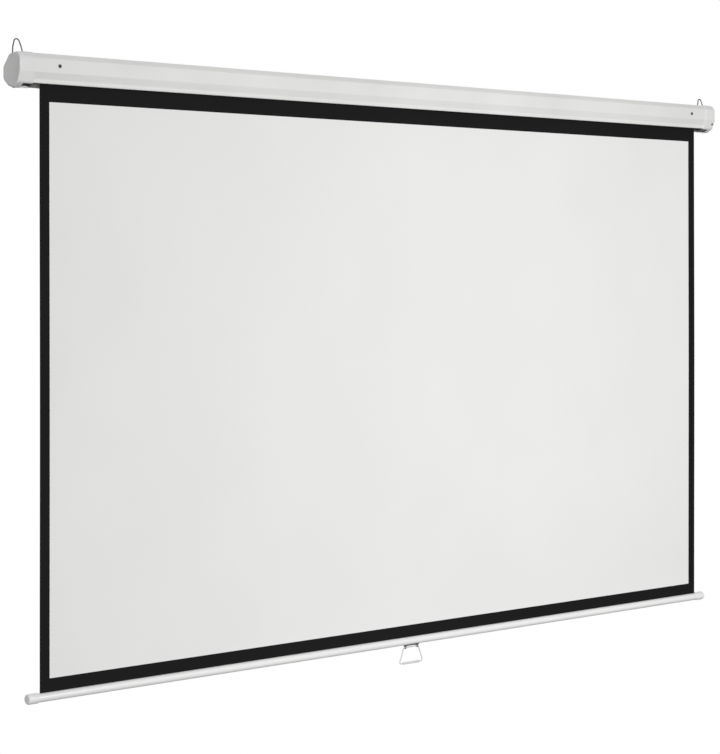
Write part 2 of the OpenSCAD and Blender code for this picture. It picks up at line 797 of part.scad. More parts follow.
module bar_cap(side) {
    r = bar_cap_d / 2;
    edge = 4;
    wall = 3;
    sleeve = [1.5, 6.5];
    lip_r = bar_in - 0.1 - sleeve[0];
    at_right(side) at_bar() translate([bar_half, 0, 0]) rotate([0, 90, 0]) rotate_extrude() {
        difference() {
            union() {
                square([r, bar_cap_len - edge]);
                square([r - edge, bar_cap_len]);
                intersection() {
                    translate([r - edge, bar_cap_len - edge]) circle(r = edge);
                    square([r, bar_cap_len]);
                }
            }
            translate([0, -past]) square([r - wall, bar_cap_len - wall + past]);
        }
        translate([lip_r, -sleeve[1]]) square(sleeve);
        translate([lip_r, 0]) square([r - lip_r, 2]);
    }
}
module left_bar_cap() { color("white") bar_cap(-1); }
module right_bar_cap() { color("white") bar_cap(1); }

module at_hem() { translate([0, cloth_y, hem_z]) children(); }
module hem_rod() { color("silver") at_hem() shaft(-cloth_half, cloth_half, hem_rod_d / 2); }
module cloth_hem() {
    color([0.15, 0.15, 0.15]) at_hem() ring(-cloth_half, cloth_half, hem_r, hem_rod_d / 2 + wound);
}

// Pull handle

module handle_bracket() {
    color("darkgray") at_bar() difference() {
        union() {
            translate([-ear_x, -saddle_w / 2, -bar_d / 2 - ear_t])
                cube([2 * ear_x, saddle_w, ear_t + 3]);
            for (side = [-1, 1]) translate([side > 0 ? ear_x - ear_t : -ear_x, 0, 0]) {
                translate([0, 0, -bar_d / 2 - pivot_drop]) rotate([0, 90, 0])
                    cylinder(h = ear_t, r = ear_r);
                translate([0, -ear_r, -bar_d / 2 - pivot_drop]) cube([ear_t, 2 * ear_r, pivot_drop]);
            }
        }
        shaft(-grip_top_w, grip_top_w, bar_d / 2 + press);
        translate([0, 0, -bar_d / 2 - pivot_drop]) shaft(-grip_top_w, grip_top_w, grip_wire / 2 + run);
        for (x = rivet_xs) translate([x, 0, -bar_d]) cylinder(h = bar_d, r = rivet_r + press);
    }
}

module handle_rivets() {
    color("dimgray") at_bar() for (x = rivet_xs) translate([x, 0, 0]) {
        translate([0, 0, -bar_d / 2 - ear_t - rivet_head / 2])
            cylinder(h = bar_wall + ear_t + rivet_head / 2 + past, r = rivet_r);
        translate([0, 0, -bar_d / 2 - ear_t - rivet_head])
            cylinder(h = rivet_head, r1 = rivet_r + 0.4, r2 = 2 * rivet_r);
        translate([0, 0, -sqrt(bar_in * bar_in - rivet_end_r * rivet_end_r) + press])
            cylinder(h = 1, r = rivet_end_r);
    }
}

// A closed wire, whose straight top turns in the two ears
module pull_handle() {
    top = grip_top_w / 2 - grip_bend_top;
    half = [[ear_x - ear_t, 0], [grip_top_w / 2, 0], [grip_low_w / 2, -grip_h]];
    path = concat(half, [for (i = [2:-1:0]) [-half[i][0], half[i][1]]]);
    color("gainsboro") translate([0, cloth_y, pivot_z]) {
        bent_wire(path, [grip_bend_top, grip_bend, grip_bend, grip_bend_top],
            grip_wire / 2 - press);
        shaft(-top, top, grip_wire / 2);
    }
}

module handle_sleeve() {
    color("gainsboro") translate([0, cloth_y, pivot_z - grip_h])
        ring(-sleeve_len / 2, sleeve_len / 2, sleeve_d / 2, grip_wire / 2 + run);
}

case_front();
case_bevel();
case_top();
case_rear_slope();
case_back();
case_floor();
case_lip();
left_end_cap();
right_end_cap();
left_cap_screw();
right_cap_screw();
side_screw();
left_front_screw();
right_front_screw();
left_screw_nut();
right_screw_nut();
left_roller_bracket();
right_roller_bracket();
left_hanging_loop();
right_hanging_loop();
spring_shaft();
ratchet_wheel();
spring_anchor();
shaft_clip();
rewind_spring();
bearing_bush();
roller_tube();
left_roller_plug();
right_roller_plug();
shaft_support();
pawl_pins();
idler_pin();
cloth_spline();
cloth_wrap();
lock_pawl_a();
lock_pawl_b();
screen_cloth();
black_border();
dark_backing();
bar_tube();
left_bar_cap();
right_bar_cap();
hem_rod();
cloth_hem();
handle_bracket();
handle_rivets();
pull_handle();
handle_sleeve();
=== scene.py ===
# Looks of a pull-down projection screen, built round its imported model.
# The frame is the model's own: X along the case, Y towards the wall, Z up, in metres.
# Settings are in millimetres, and the studio's in metres.
import json
import math

import bmesh
import bpy
import numpy as np
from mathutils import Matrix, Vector


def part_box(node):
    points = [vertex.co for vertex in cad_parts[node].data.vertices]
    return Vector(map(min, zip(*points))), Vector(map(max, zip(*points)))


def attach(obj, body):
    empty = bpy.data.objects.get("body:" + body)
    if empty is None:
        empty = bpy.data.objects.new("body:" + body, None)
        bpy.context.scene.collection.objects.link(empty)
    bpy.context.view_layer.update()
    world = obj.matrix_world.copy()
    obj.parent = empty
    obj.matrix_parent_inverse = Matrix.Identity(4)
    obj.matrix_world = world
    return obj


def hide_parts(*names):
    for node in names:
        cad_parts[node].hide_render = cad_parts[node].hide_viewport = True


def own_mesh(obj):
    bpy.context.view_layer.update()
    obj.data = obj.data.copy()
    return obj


print("loading the packed model")
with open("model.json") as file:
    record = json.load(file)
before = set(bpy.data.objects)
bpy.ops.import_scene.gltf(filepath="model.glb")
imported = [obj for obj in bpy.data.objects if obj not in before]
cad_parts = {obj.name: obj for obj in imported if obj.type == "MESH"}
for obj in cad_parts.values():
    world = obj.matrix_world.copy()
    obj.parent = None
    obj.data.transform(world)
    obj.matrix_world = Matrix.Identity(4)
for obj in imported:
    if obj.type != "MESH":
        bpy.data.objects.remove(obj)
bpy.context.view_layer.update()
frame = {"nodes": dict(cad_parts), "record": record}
nodes = frame["nodes"]
scene = bpy.context.scene
mm = 0.001
weld = 0.002 * mm  # points that lie closer than this become one
smoothAngle = math.radians(32)


# Node trees

def addNode(tree, kind, inputs=None, **settings):
    node = tree.nodes.new(kind)
    for name, value in settings.items():
        setattr(node, name, value)
    for key, value in (inputs or {}).items():
        if isinstance(value, bpy.types.NodeSocket):
            tree.links.new(value, node.inputs[key])
        else:
            node.inputs[key].default_value = value
    return node


def linear(hexText):
    channels = [int(hexText[i:i + 2], 16) / 255 for i in (1, 3, 5)]
    return [c / 12.92 if c <= 0.04045 else ((c + 0.055) / 1.055) ** 2.4 for c in channels] + [1]


# Starts a material, whose patterns come between its coordinates and its shader
def startMaterial(name, metallic=0.0, **shaderInputs):
    material = bpy.data.materials.new(name)
    material.use_nodes = True
    tree = material.node_tree
    tree.nodes.clear()
    shader = addNode(tree, "ShaderNodeBsdfPrincipled", {"Metallic": metallic, **shaderInputs})
    addNode(tree, "ShaderNodeOutputMaterial", {"Surface": shader.outputs["BSDF"]})
    place = addNode(tree, "ShaderNodeTexCoord")
    return material, tree, shader, place


# Noise whose features are about size millimetres across, stretched by the given factors
def grain(tree, place, size, detail, stretch=(1, 1, 1)):
    mapping = addNode(tree, "ShaderNodeMapping", {
        "Vector": place, "Scale": [1 / (size * mm * s) for s in stretch]})
    return addNode(tree, "ShaderNodeTexNoise", {
        "Vector": mapping.outputs["Vector"], "Scale": 1.0, "Detail": detail}).outputs["Fac"]


noiseLow, noiseHigh = 0.3, 0.7  # nearly all of a noise lies between these


# Spreads a pattern over a range of numbers
def spread(tree, pattern, low, high, fromLow=noiseLow, fromHigh=noiseHigh):
    return addNode(tree, "ShaderNodeMapRange", {
        "Value": pattern, "From Min": fromLow, "From Max": fromHigh,
        "To Min": low, "To Max": high}).outputs["Result"]


def tint(tree, pattern, dark, light):
    ramp = addNode(tree, "ShaderNodeValToRGB", {"Fac": pattern})
    for stop, place, colour in zip(ramp.color_ramp.elements, (noiseLow, noiseHigh), (dark, light)):
        stop.position = place
        stop.color = linear(colour)
    return ramp.outputs["Color"]


# Colours a surface by a pattern, and makes it duller where the pattern is light
def cloud(tree, shader, pattern, dark, light, glossy, dull):
    tree.links.new(tint(tree, pattern, dark, light), shader.inputs["Base Color"])
    tree.links.new(spread(tree, pattern, glossy, dull), shader.inputs["Roughness"])


def relief(tree, shader, height, depth, strength):
    bump = addNode(tree, "ShaderNodeBump", {
        "Height": height, "Distance": depth * mm, "Strength": strength})
    tree.links.new(bump.outputs["Normal"], shader.inputs["Normal"])


# Finishes. Each starts from the real material and how its surface was made.

# Powder-coated steel: baked white polyester, a fine orange peel under a soft satin sheen
def powderCoat():
    material, tree, shader, place = startMaterial("powderCoatedSteel", IOR=1.5)
    here = place.outputs["Object"]
    cloud(tree, shader, grain(tree, here, 220, 3), "#E6E6E4", "#EDEDEB", 0.36, 0.44)
    relief(tree, shader, grain(tree, here, 1.6, 2), 0.05, 0.5)
    return material


# Moulded ABS: matt, with the fine spark texture of its mould and a faint flow mark
def mouldedAbs(name, dark, light, rough=0.5):
    material, tree, shader, place = startMaterial(name, IOR=1.53)
    here = place.outputs["Object"]
    flow = grain(tree, here, 60, 2, (3, 1, 1))
    cloud(tree, shader, flow, dark, light, rough - 0.05, rough + 0.05)
    relief(tree, shader, grain(tree, here, 0.8, 2), 0.04, 0.6)
    return material


# Enamelled steel tube: glossy stoved white, nearly smooth, drawn along its length
def stovedEnamel():
    material, tree, shader, place = startMaterial("stovedEnamelSteel", IOR=1.52, **{
        "Coat Weight": 0.35, "Coat Roughness": 0.12})
    here = place.outputs["Object"]
    streaks = grain(tree, here, 90, 2, (6, 1, 1))
    cloud(tree, shader, streaks, "#F2F3F3", "#F8F8F7", 0.26, 0.34)
    relief(tree, shader, grain(tree, here, 5, 2, (8, 1, 1)), 0.03, 0.4)
    return material


# Zinc-plated steel: cool bright grey, cloudy passivation, fine rolling lines
def zincPlated(name="zincPlatedSteel", dark="#A9ACAF", light="#C3C5C6", rough=0.34):
    material, tree, shader, place = startMaterial(name, 1.0)
    here = place.outputs["Object"]
    cloud(tree, shader, grain(tree, here, 14, 4), dark, light, rough - 0.08, rough + 0.1)
    relief(tree, shader, grain(tree, here, 0.7, 3, (12, 1, 1)), 0.01, 0.5)
    return material


# Drawn zinc wire: a dull dark grey, fine die lines along the wire
def drawnWire():
    material, tree, shader, place = startMaterial("drawnZincWire", 1.0)
    here = place.outputs["Object"]
    cloud(tree, shader, grain(tree, here, 5, 3), "#76787A", "#8B8D8F", 0.5, 0.6)
    relief(tree, shader, grain(tree, here, 0.3, 2), 0.006, 0.5)
    return material


# Enamelled wire: pale grey paint dipped on a wire, soft gloss, thicker here and there
def enamelledWire():
    material, tree, shader, place = startMaterial("enamelledWire", IOR=1.5)
    here = place.outputs["Object"]
    runs = grain(tree, here, 6, 3)
    cloud(tree, shader, runs, "#D9DADB", "#E3E4E4", 0.3, 0.4)
    relief(tree, shader, runs, 0.02, 0.5)
    return material


# Galvanised tube: pale grey with the crystal spangle of hot-dip zinc
def galvanised():
    material, tree, shader, place = startMaterial("galvanisedSteelTube", 1.0)
    here = place.outputs["Object"]
    crystal = 9 * mm
    mapping = addNode(tree, "ShaderNodeMapping", {
        "Vector": here, "Scale": [1 / crystal] * 3})
    spangle = addNode(tree, "ShaderNodeTexVoronoi", {
        "Vector": mapping.outputs["Vector"], "Scale": 1.0}).outputs["Color"]
    tone = addNode(tree, "ShaderNodeSeparateColor", {"Color": spangle}).outputs["Red"]
    cloud(tree, shader, tone, "#989C9F", "#B9BCBE", 0.32, 0.5)
    relief(tree, shader, grain(tree, here, 2, 2), 0.02, 0.4)
    return material


# Darkened steel: dark passivated zinc or an oiled spring, rubbed brighter on its high spots
def darkSteel(name="darkZincSteel", dark="#46484B", light="#606265"):
    material, tree, shader, place = startMaterial(name, 0.85)
    here = place.outputs["Object"]
    rub = grain(tree, here, 1.2, 3)
    cloud(tree, shader, rub, dark, light, 0.34, 0.5)
    relief(tree, shader, rub, 0.01, 0.4)
    return material


weave = {"thread": 1.25664, "unit": math.tau / 20, "waver": 0.4, "depth": 0.05}


# Woven glass cloth under a matt coat: the weave only just shows. Its threads are about 0.5 mm
# apart on the real one, and are drawn 1.26 mm apart, so that they can show at all.
def coatedCloth(name, dark, light, rough, shine=0.5):
    material, tree, shader, place = startMaterial(name, IOR=1.45, **{"Specular IOR Level": shine})
    flat = place.outputs["UV"]
    cloud(tree, shader, grain(tree, flat, 380, 2), dark, light, rough - 0.03, rough + 0.03)
    threads = []
    for turn in (0, math.pi / 2):
        mapping = addNode(tree, "ShaderNodeMapping", {
            "Vector": flat, "Rotation": (0, 0, turn), "Scale": [1 / (weave["thread"] * mm)] * 3})
        threads.append(addNode(tree, "ShaderNodeTexWave", {  # at this scale, one wave to a thread
            "Vector": mapping.outputs["Vector"], "Scale": weave["unit"],
            "Distortion": weave["waver"]}).outputs["Fac"])
    crossed = addNode(tree, "ShaderNodeMath", dict(enumerate(threads)), operation="MULTIPLY")
    relief(tree, shader, crossed.outputs["Value"], weave["depth"], 0.5)
    return material


print("mixing the finishes")
finishes = {
    "case_paint": powderCoat(),
    "cap_plastic": mouldedAbs("mouldedAbsPale", "#E2E3E2", "#EAEAE9"),
    "dark_screw": darkSteel(),
    "zinc_steel": zincPlated(),
    "wire_steel": drawnWire(),
    "handle_enamel": enamelledWire(),
    "tube_steel": galvanised(),
    "spring_steel": darkSteel("oiledSpringSteel", "#3A3836", "#55524E"),
    "lock_steel": zincPlated("stampedSteel", "#7C7E80", "#999B9C", 0.42),
    "nylon": mouldedAbs("mouldedNylon", "#E3E0D6", "#ECE9E0", 0.42),
    "cloth_white": coatedCloth("coatedGlassClothWhite", "#EBEBEA", "#EEEEED", 0.92),
    "cloth_black": coatedCloth("printedBlackBorder", "#131213", "#181718", 0.75, 0.2),
    "cloth_back": coatedCloth("blackoutCoat", "#1C1C1D", "#242425", 0.8, 0.3),
    "bar_paint": stovedEnamel(),
    "bar_cap_plastic": mouldedAbs("mouldedAbsWhite", "#F0F0EF", "#F6F6F5", 0.34),
    "sleeve_plastic": mouldedAbs("mouldedVinylSleeve", "#DADADA", "#E6E6E6", 0.4),
}
slotOf = {row["node"]: row["material_slot"] for row in frame["record"]["subparts"]}
for nodeName, node in nodes.items():
    node.data.materials.clear()
    node.data.materials.append(finishes[slotOf[nodeName]])


# Pieces

def addPiece(name, mesh, slot, body, replaced):
    piece = bpy.data.objects.new(name, mesh)
    scene.collection.objects.link(piece)
    mesh.materials.clear()
    mesh.materials.append(finishes[slot])
    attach(piece, body)
    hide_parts(*replaced)
    return piece


# Turns a bmesh into a plain mesh with smooth curves and crisp edges
def finishMesh(name, shape, angle=smoothAngle):
    bmesh.ops.remove_doubles(shape, verts=shape.verts, dist=weld)
    bmesh.ops.dissolve_degenerate(shape, edges=shape.edges, dist=weld / 2)
    bmesh.ops.recalc_face_normals(shape, faces=shape.faces)
    mesh = bpy.data.meshes.new(name)
    shape.to_mesh(mesh)
    shape.free()
    mesh.shade_smooth()
    mesh.set_sharp_from_angle(angle=angle)
    return mesh


# Mesh of an object with its modifiers worked in
def bakedMesh(source, name, angle=smoothAngle):
    bpy.context.view_layer.update()
    evaluated = source.evaluated_get(bpy.context.evaluated_depsgraph_get())
    mesh = bpy.data.meshes.new_from_object(evaluated)
    mesh.name = name
    mesh.shade_smooth()
    mesh.set_sharp_from_angle(angle=angle)
    return mesh


def startTree(name, sizes):
    tree = bpy.data.node_groups.new(name, "GeometryNodeTree")
    tree.interface.new_socket("Geometry", in_out="INPUT", socket_type="NodeSocketGeometry")
    kinds = {int: "NodeSocketInt", float: "NodeSocketFloat"}
    for label, value in sizes.items():
        kind = kinds.get(type(value), "NodeSocketMaterial")
        socket = tree.interface.new_socket(label, in_out="INPUT", socket_type=kind)
        if kind != "NodeSocketMaterial":
            socket.default_value = value
    tree.interface.new_socket("Geometry", in_out="OUTPUT", socket_type="NodeSocketGeometry")
    return tree, addNode(tree, "NodeGroupInput").outputs


# Ends a tree the way each of them ends: made real and given its material
def endTree(tree, geometry, material):
    real = addNode(tree, "GeometryNodeRealizeInstances", {"Geometry": geometry})
    painted = addNode(tree, "GeometryNodeSetMaterial", {
        "Geometry": real.outputs["Geometry"], "Material": material})
    addNode(tree, "NodeGroupOutput", {"Geometry": painted.outputs["Geometry"]})


# Runs a tree on a base mesh and returns the plain mesh that comes out
def grow(tree, baseMesh, values, name, angle=smoothAngle):
    base = bpy.data.objects.new(name + "Base", baseMesh)
    scene.collection.objects.link(base)
    modifier = base.modifiers.new(tree.name, "NODES")
    modifier.node_group = tree
    for item in tree.interface.items_tree:
        if item.in_out == "INPUT" and item.name in values:
            modifier[item.identifier] = values[item.name]
    mesh = bakedMesh(base, name, angle)
    base.modifiers.remove(modifier)
    bpy.data.objects.remove(base)
    return mesh


# A base mesh of points in millimetres, joined in a row unless loose
def pointRow(name, points, loose=False, **attributes):
    mesh = bpy.data.meshes.new(name)
    edges = [] if loose else [(i, i + 1) for i in range(len(points) - 1)]
    mesh.from_pydata([Vector(p) * mm for p in points], edges, [])
    for label, values in attributes.items():
        layer = mesh.attributes.new(label, "FLOAT", "POINT")
        layer.data.foreach_set("value", [v * mm for v in values])
    return mesh


# Plane geometry of outlines given as [Y, Z], whose points run anticlockwise

def outward(a, b):
    run = b - a
    return np.array([run[1], -run[0]]) / np.hypot(*run)


# Where the sides a-b and b-c meet once each is moved out
def movedCorner(a, b, c, out):
    n, m = outward(a, b), outward(b, c)
    return b + (n + m) * out / (1 + n @ m)


# An outline moved out, with each corner rounded to the given radius
def roundedOutline(points, out, radius, steps):
    pts = [np.array(p, float) for p in points]
    count = len(pts)
    moved = [movedCorner(pts[i - 1], pts[i], pts[(i + 1) % count], out) for i in range(count)]
    rounded = []
    for i in range(count):
        a, b, c = moved[i - 1], moved[i], moved[(i + 1) % count]
        n, m = outward(a, b), outward(b, c)
        turn = math.atan2(n[0] * m[1] - n[1] * m[0], n @ m)
        side = 1 if turn >= 0 else -1
        middle = movedCorner(a, b, c, -side * radius)
        start = math.atan2(n[1], n[0])
        for k in range(steps + 1):
            angle = start + turn * k / steps
            rounded.append(middle + side * radius * np.array([math.cos(angle), math.sin(angle)]))
    return rounded


# Skins rings of [X, Y, Z] points, all of one length, and closes the two ends
def loft(rings, closed=False):
    shape = bmesh.new()
    rows = [[shape.verts.new(Vector(p) * mm) for p in ring] for ring in rings]
    count = len(rows[0])
    pairs = list(zip(rows, rows[1:])) + ([(rows[-1], rows[0])] if closed else [])
    for low, high in pairs:
        for k in range(count):
            j = (k + 1) % count
            shape.faces.new((low[k], low[j], high[j], high[k]))
    if not closed:
        shape.faces.new(rows[0])
        shape.faces.new(rows[-1][::-1])
    return shape


# Turns a profile of [radius, X] points about a line along X, with its X times side
def lathe(profile, y, z, steps, side=1):
    rings = []
    for k in range(steps):
        angle = math.tau * k / steps
        rings.append([(side * x, y + r * math.sin(angle), z + r * math.cos(angle))
                      for r, x in profile])
    return loft(rings, closed=True)


# Cuts closed shapes out of a mesh
def cutAway(mesh, cutters, name):
    body = bpy.data.objects.new(name, mesh)
    scene.collection.objects.link(body)
    tools = []
    for number, cutter in enumerate(cutters):
        toolMesh = finishMesh(f"{name}Tool{number}", cutter)
        tool = bpy.data.objects.new(toolMesh.name, toolMesh)
        scene.collection.objects.link(tool)
        cut = body.modifiers.new(tool.name, "BOOLEAN")
        cut.object = tool
        cut.solver = "EXACT"
        tools.append(tool)
    result = bakedMesh(body, name)
    for thing in [body, *tools]:
        bpy.data.objects.remove(thing)
    return result


# A box between two corners, tilted about X and then set on a point
def boxTool(low, high, tilt=0.0, about=(0, 0, 0)):
    shape = bmesh.new()
    bmesh.ops.create_cube(shape, size=1.0)
    low, high, about = Vector(low), Vector(high), Vector(about)
    cos, sin = math.cos(tilt), math.sin(tilt)
    for vert in shape.verts:
        p = Vector([low[i] + (vert.co[i] + 0.5) * (high[i] - low[i]) for i in range(3)])
        turned = Vector((p.x, p.y * cos - p.z * sin, p.y * sin + p.z * cos))
        vert.co = (turned + about) * mm
    return shape


# A rod from a point along a direction
def rodTool(start, along, radius, length):
    steps = 32
    axis = Vector(along).normalized()
    side = axis.orthogonal().normalized()
    other = axis.cross(side)
    rings = [[Vector(start) + axis * t + radius * (
        side * math.cos(math.tau * k / steps) + other * math.sin(math.tau * k / steps))
        for k in range(steps)] for t in (0, length)]
    return loft(rings)


print("folding the case")
case = {
    "outline": [(-53, -21), (-33, -32), (-17, -27), (0, -13), (0, 13), (-21, 39), (-51, 43),
                (-61, 31.5), (-61, 2), (-53, -13)],
    "half": 1200, "shellHalf": 1180, "wall": 1.0, "bend": 3.0, "bendSteps": 10,
    "slotFront": -51, "slotBack": -33, "screwHeight": 16.75, "screwX": 1095, "holeR": 2.15,
    "holeLength": 8,
}
loop = {
    "x": 1180, "back": -25, "wire": 1.5, "gap": 0.6, "height": 34, "width": 27,
    "shoulderWidth": 22.4, "shoulderHeight": 16, "topBend": 7, "sideBend": 8, "footBend": 2,
    "footEnd": 4, "foot": -5.8, "pushedIn": {"left": 0, "right": 10}, "sides": 20,
    "slotLength": 4.4, "slotDepth": 4,
}
cap = {
    "length": 40, "proud": 1.6, "wall": 2.0, "rim": 4.0, "bend": 9.0, "endBend": 14.0,
    "dish": 1.2, "dishRings": (0.93, 0.8, 0.6, 0.4, 0.2, 0.05), "spareCorner": 0.7, "notch": 24,
    "notchLow": -60, "notchHigh": -15, "rimSteps": 10, "bendSteps": 8, "lead": 0.4, "fit": 0.15,
    "over": 1, "screwX": 1190, "sideScrew": 0.45, "holeR": 1.65, "holeStart": 3, "holeLength": 8,
}


# A point on the side between two of the outline's corners, and the way that side looks
def sidePoint(first, last, share):
    a, b = (np.array(case["outline"][i], float) for i in (first, last))
    return a + (b - a) * share, outward(a, b)


# One sheet folded along an outline, drawn out along X, with its thickness inwards
def foldedSheetTree():
    tree, sizes = startTree("foldedSheet", {
        "Bend": 0.003, "Steps": 8, "Length": 1.0, "Wall": 0.001, "Finish": None})
    line = addNode(tree, "GeometryNodeMeshToCurve", {"Mesh": sizes["Geometry"]})
    bent = addNode(tree, "GeometryNodeFilletCurve", {
        "Curve": line.outputs["Curve"], "Count": sizes["Steps"], "Radius": sizes["Bend"]},
        mode="POLY")
    edge = addNode(tree, "GeometryNodeCurveToMesh", {"Curve": bent.outputs["Curve"]})
    drawn = addNode(tree, "ShaderNodeCombineXYZ", {"X": sizes["Length"]})
    sheet = addNode(tree, "GeometryNodeExtrudeMesh", {
        "Mesh": edge.outputs["Mesh"], "Offset": drawn.outputs["Vector"], "Offset Scale": 1.0},
        mode="EDGES")
    wall = addNode(tree, "GeometryNodeExtrudeMesh", {
        "Mesh": sheet.outputs["Mesh"], "Offset Scale": sizes["Wall"], "Individual": False},
        mode="FACES")
    other = addNode(tree, "GeometryNodeFlipFaces", {"Mesh": sheet.outputs["Mesh"]})
    both = addNode(tree, "GeometryNodeJoinGeometry")
    for part in (wall, other):
        tree.links.new(part.outputs["Mesh"], both.inputs["Geometry"])
    closed = addNode(tree, "GeometryNodeMergeByDistance", {
        "Geometry": both.outputs["Geometry"], "Distance": weld})
    endTree(tree, closed.outputs["Geometry"], sizes["Finish"])
    return tree


# Where the loops stand on the top of the case, and how it leans there
topBack, topFront = (case["outline"][i][0] for i in (5, 6))
topPoint, topOut = sidePoint(5, 6, (loop["back"] - topBack) / (topFront - topBack))
topTilt = math.atan2(-topOut[0], topOut[1])


# The slots that a loop's wires slide in, as cutters
def loopSlots(side):
    half, depth = loop["wire"] + loop["gap"], loop["slotDepth"]
    outer = loop["width"] / 2 + half
    inner = loop["width"] / 2 - loop["slotLength"] - half
    return [boxTool((start, -half, -depth), (end, half, depth), topTilt,
                    (side * loop["x"], *topPoint))
            for start, end in ((inner, outer), (-outer, -inner))]


# The open path of the sheet starts at the slot's rear edge and ends on the lip's return
def shellPath():
    points = case["outline"]
    lipFront, lipBack = points[0][0], points[1][0]
    lipEnd, _ = sidePoint(0, 1, (case["slotFront"] - lipFront) / (lipBack - lipFront))
    return [*points[1:], points[0], tuple(lipEnd)]


shellRow = pointRow("shellPath", [(-case["shellHalf"], y, z) for y, z in shellPath()])
shellMesh = grow(foldedSheetTree(), shellRow, {
    "Bend": case["bend"] * mm, "Steps": case["bendSteps"], "Length": 2 * case["shellHalf"] * mm,
    "Wall": case["wall"] * mm, "Finish": finishes["case_paint"]}, "caseShellBlank")
shellCutters = [tool for side in (-1, 1) for tool in loopSlots(side)]
frontFace = case["outline"][8][0]
shellCutters += [rodTool((side * case["screwX"], frontFace - case["holeLength"] / 2,
                          case["screwHeight"]), (0, 1, 0), case["holeR"], case["holeLength"])
                 for side in (-1, 1)]
caseStrips = ["case_" + word for word in (
    "front", "bevel", "top", "rear_slope", "back", "floor", "lip")]
addPiece("caseShell", cutAway(shellMesh, shellCutters, "caseShell"), "case_paint", "case",
         caseStrips)


print("moulding the end caps")
sideScrewSpot, sideScrewOut = sidePoint(8, 0, cap["sideScrew"])
underScrewSpot, underScrewOut = sidePoint(1, 2, 0.5)


# A cap: its outside goes over a rounded rim to a dished end, and its hollow, slots, notch and
# screw holes are cut out. Where the case steps in above its lip, the cap goes straight down.
def capMesh(side, name):
    points = list(case["outline"])
    straight = points[:9] + [tuple(sidePoint(8, 0, cap["spareCorner"])[0])]
    inner, end = case["half"] - cap["length"], case["half"]

    def ring(x, outline, out, bend, back=0.0):
        rounded = roundedOutline(outline, out, bend, cap["bendSteps"])
        return [(side * x, min(y, back), z) for y, z in rounded]

    def rim(x, radius, out, bend):
        rounds = []
        for t in np.linspace(0, math.pi / 2, cap["rimSteps"] + 1):
            drop = radius * (1 - math.cos(t))
            rounds.append((x - radius + radius * math.sin(t), out - drop, bend - drop))
        return rounds

    hollow, wall = cap["proud"] - cap["wall"], cap["wall"]
    outside = [(inner, cap["proud"] - cap["lead"], cap["bend"] - cap["lead"]),
               (inner + cap["lead"], cap["proud"], cap["bend"]),
               (case["shellHalf"], cap["proud"], cap["bend"])]
    outside += rim(end, cap["rim"], cap["proud"], cap["endBend"])
    inside = rim(end - wall, cap["rim"] - wall, hollow, cap["endBend"] - wall)[::-1]
    inside += [(case["shellHalf"] + cap["fit"], hollow, cap["bend"] - wall)]
    rings = [ring(x, straight, out, bend) for x, out, bend in outside]
    edge = np.array(rings[-1])
    middle = edge.mean(axis=0)
    for share in cap["dishRings"]:
        dent = [-side * cap["dish"] * (1 - share ** 2), 0, 0]
        rings.append([middle + (p - middle) * share + dent for p in edge])
    skin = finishMesh("capOutside", loft(rings))
    core = [ring(x, straight, out, bend, -wall) for x, out, bend in inside]
    core += [ring(x, points, cap["fit"], case["bend"], cap["fit"])
             for x in (case["shellHalf"] + cap["fit"], inner - cap["over"])]
    notchX = sorted((side * (inner - cap["over"]), side * (inner + cap["notch"])))
    notch = boxTool((notchX[0], case["slotFront"], cap["notchLow"]),
                    (notchX[1], case["slotBack"], cap["notchHigh"]))
    holes = [(underScrewSpot, underScrewOut)]
    if side > 0:
        holes.append((sideScrewSpot, sideScrewOut))
    cutters = [loft(core), notch, *loopSlots(side)]
    cutters += [rodTool((side * cap["screwX"], *(spot - out * cap["holeStart"])), (0, *out),
                        cap["holeR"], cap["holeLength"]) for spot, out in holes]
    return cutAway(skin, cutters, name)


for side, word in ((-1, "left"), (1, "right")):
    addPiece(f"{word}EndCap", capMesh(side, f"{word}EndCap"), "cap_plastic", "case",
             [f"{word}_end_cap"])


print("bending the wires")


# A wire along a row of points, bent at each by its own radius
def bentWireTree():
    tree, sizes = startTree("bentWire", {
        "Radius": 0.0015, "Sides": 20, "Steps": 10, "Finish": None})
    line = addNode(tree, "GeometryNodeMeshToCurve", {"Mesh": sizes["Geometry"]})
    bendAt = addNode(tree, "GeometryNodeInputNamedAttribute", {"Name": "bend"}, data_type="FLOAT")
    bent = addNode(tree, "GeometryNodeFilletCurve", {
        "Curve": line.outputs["Curve"], "Count": sizes["Steps"],
        "Radius": bendAt.outputs["Attribute"], "Limit Radius": True}, mode="POLY")
    section = addNode(tree, "GeometryNodeCurvePrimitiveCircle", {
        "Resolution": sizes["Sides"], "Radius": sizes["Radius"]})
    tube = addNode(tree, "GeometryNodeCurveToMesh", {
        "Curve": bent.outputs["Curve"], "Profile Curve": section.outputs["Curve"],
        "Fill Caps": True})
    endTree(tree, tube.outputs["Mesh"], sizes["Finish"])
    return tree


wireTree = bentWireTree()


def loopMesh(side, pushed):
    a, r = loop["shoulderWidth"] / 2, loop["topBend"]
    k = loop["height"] - loop["shoulderHeight"] - r
    rise = (a * k + r * math.sqrt(k * k + a * a - r * r)) / (a * a - r * r)  # of the upper wires
    halfPath = [(loop["footEnd"], loop["foot"]), (loop["width"] / 2, loop["foot"]),
                (loop["width"] / 2, 0), (a, loop["shoulderHeight"])]
    path = halfPath + [(0, loop["shoulderHeight"] + a * rise)]
    path += [(-x, z) for x, z in halfPath[::-1]]
    bends = [0, loop["footBend"], loop["sideBend"], loop["sideBend"], r]
    bends += bends[3::-1]
    points = []
    for x, h in path:
        y, z = topPoint + topOut * (h - pushed)
        points.append((side * loop["x"] + x, y, z))
    row = pointRow("loopPath", points, bend=bends)
    return grow(wireTree, row, {"Radius": loop["wire"] * mm, "Sides": loop["sides"],
                                "Finish": finishes["wire_steel"]}, "hangingLoop", 1.0)


